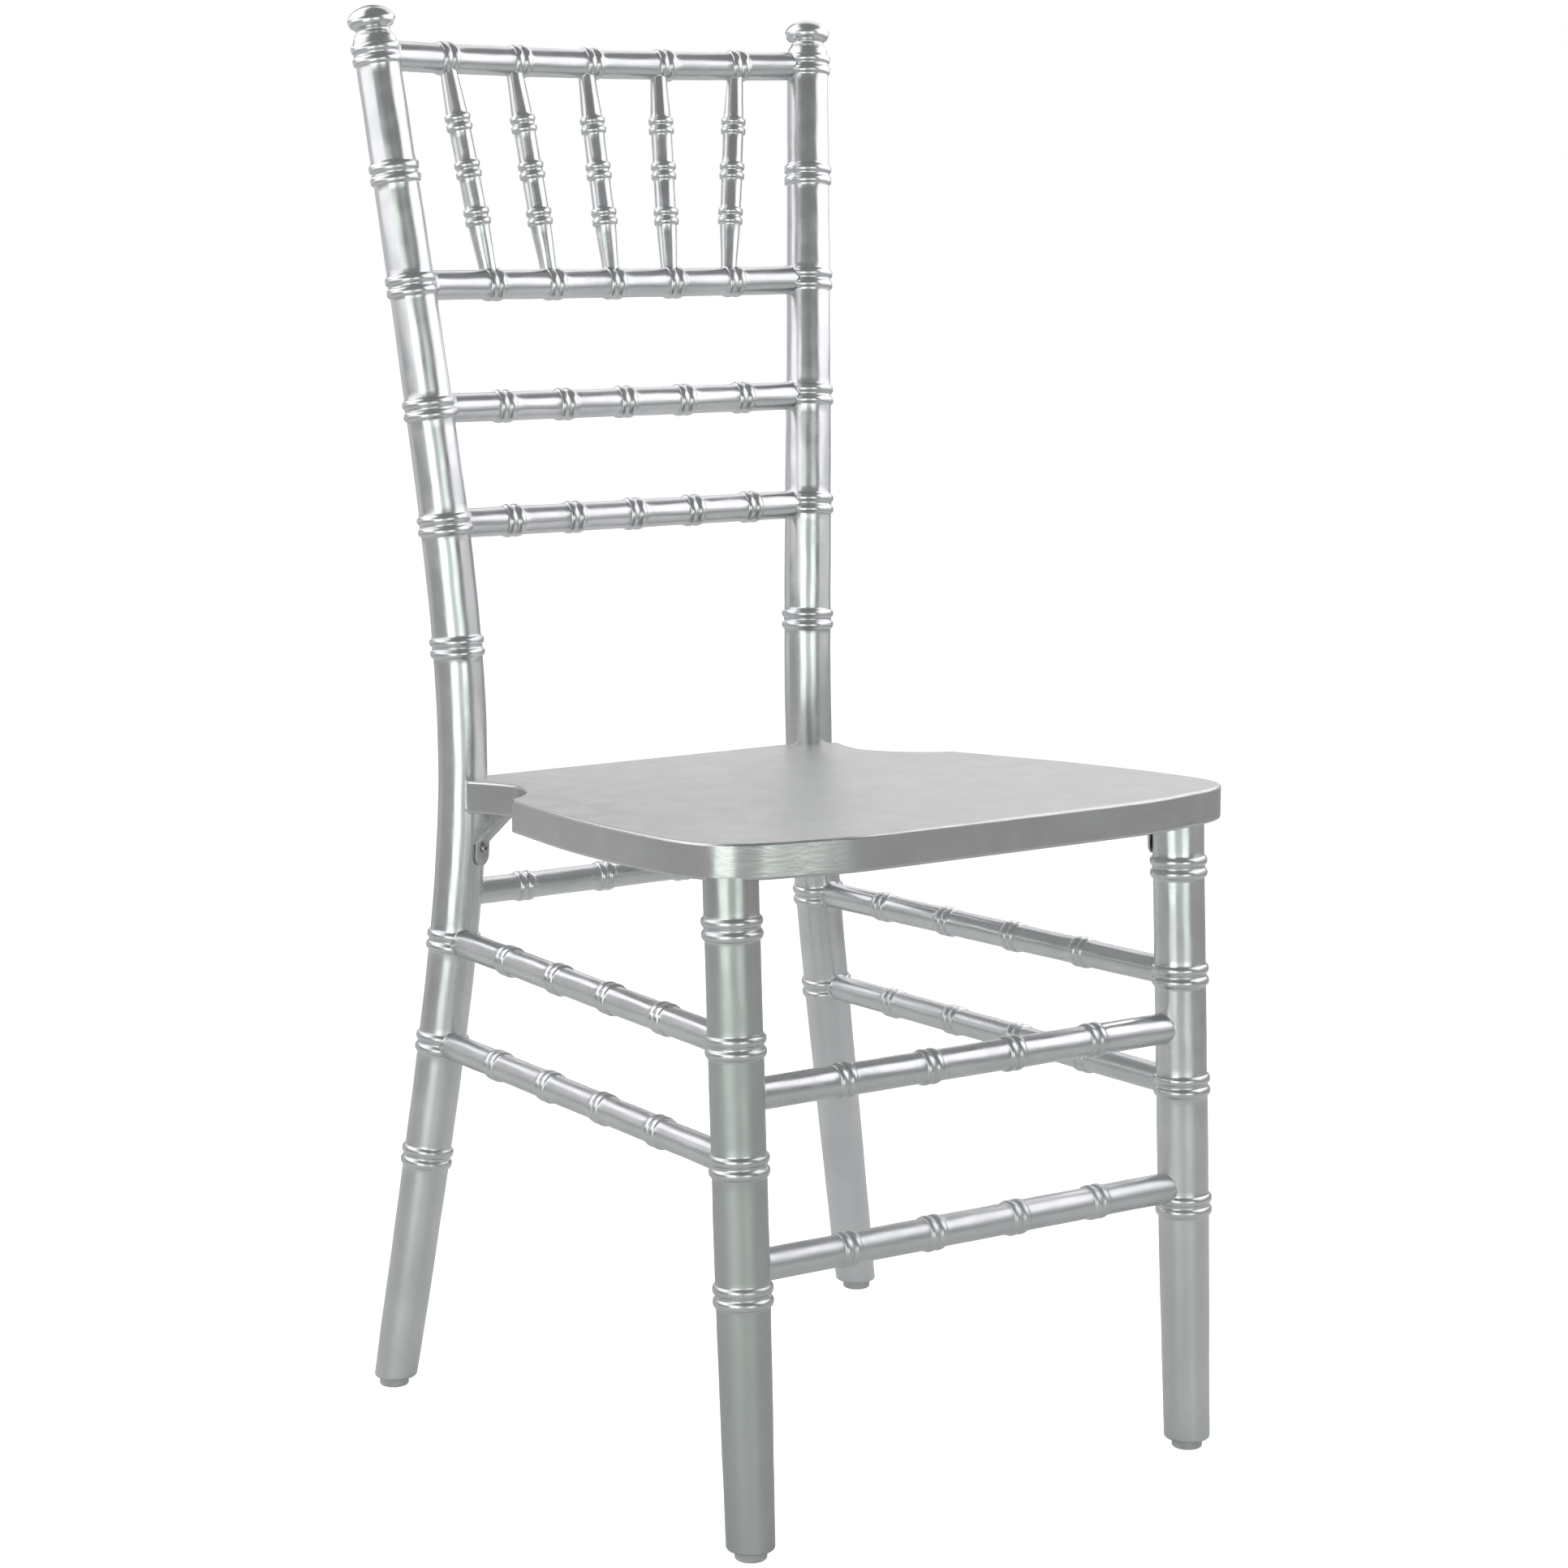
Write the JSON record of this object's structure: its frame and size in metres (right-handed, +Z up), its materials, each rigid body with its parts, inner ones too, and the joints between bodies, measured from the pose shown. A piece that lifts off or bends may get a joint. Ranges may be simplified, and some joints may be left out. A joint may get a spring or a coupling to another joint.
{
  "type": "chair",
  "caption": "Turned wooden chair in silver paint: bamboo-ringed posts and legs, a flat plank seat, stretchers on all sides and a tall back of cross rails and slim spindles",
  "frame": {"origin": "on the floor, under the middle of the chair's outline seen from above", "axes": "+Z up; the chair faces -Y, so its back is at +Y; +X is to the right of someone looking at its front"},
  "size_m": [0.4155, 0.4729, 0.9214],
  "materials": {
    "silver_painted_wood": "silver metallic paint, satin to semi-gloss",
    "zinc_steel": "dull zinc plate",
    "grey_plastic": "matt"
  },
  "bodies": {
    "root": {"back_post_left": "silver_painted_wood", "back_post_right": "silver_painted_wood", "bracket_back_left": "zinc_steel", "bracket_back_right": "zinc_steel", "bracket_front_left": "zinc_steel", "bracket_front_right": "zinc_steel", "front_leg_left": "silver_painted_wood", "front_leg_right": "silver_painted_wood", "front_stretcher_lower": "silver_painted_wood", "front_stretcher_upper": "silver_painted_wood", "glide_back_left": "grey_plastic", "glide_back_right": "grey_plastic", "glide_front_left": "grey_plastic", "glide_front_right": "grey_plastic", "glide_nail_back_left": "zinc_steel", "glide_nail_back_right": "zinc_steel", "glide_nail_front_left": "zinc_steel", "glide_nail_front_right": "zinc_steel", "lower_rail": "silver_painted_wood", "middle_rail": "silver_painted_wood", "rear_stretcher": "silver_painted_wood", "screw_leg_back_left": "zinc_steel", "screw_leg_back_right": "zinc_steel", "screw_leg_front_left": "zinc_steel", "screw_leg_front_right": "zinc_steel", "screw_seat_back_left": "zinc_steel", "screw_seat_back_right": "zinc_steel", "screw_seat_front_left": "zinc_steel", "screw_seat_front_right": "zinc_steel", "seat": "silver_painted_wood", "side_stretcher_left_lower": "silver_painted_wood", "side_stretcher_left_upper": "silver_painted_wood", "side_stretcher_right_lower": "silver_painted_wood", "side_stretcher_right_upper": "silver_painted_wood", "spindle_1": "silver_painted_wood", "spindle_2": "silver_painted_wood", "spindle_3": "silver_painted_wood", "spindle_4": "silver_painted_wood", "spindle_5": "silver_painted_wood", "spindle_rail": "silver_painted_wood", "top_rail": "silver_painted_wood"}
  },
  "joints": []
}
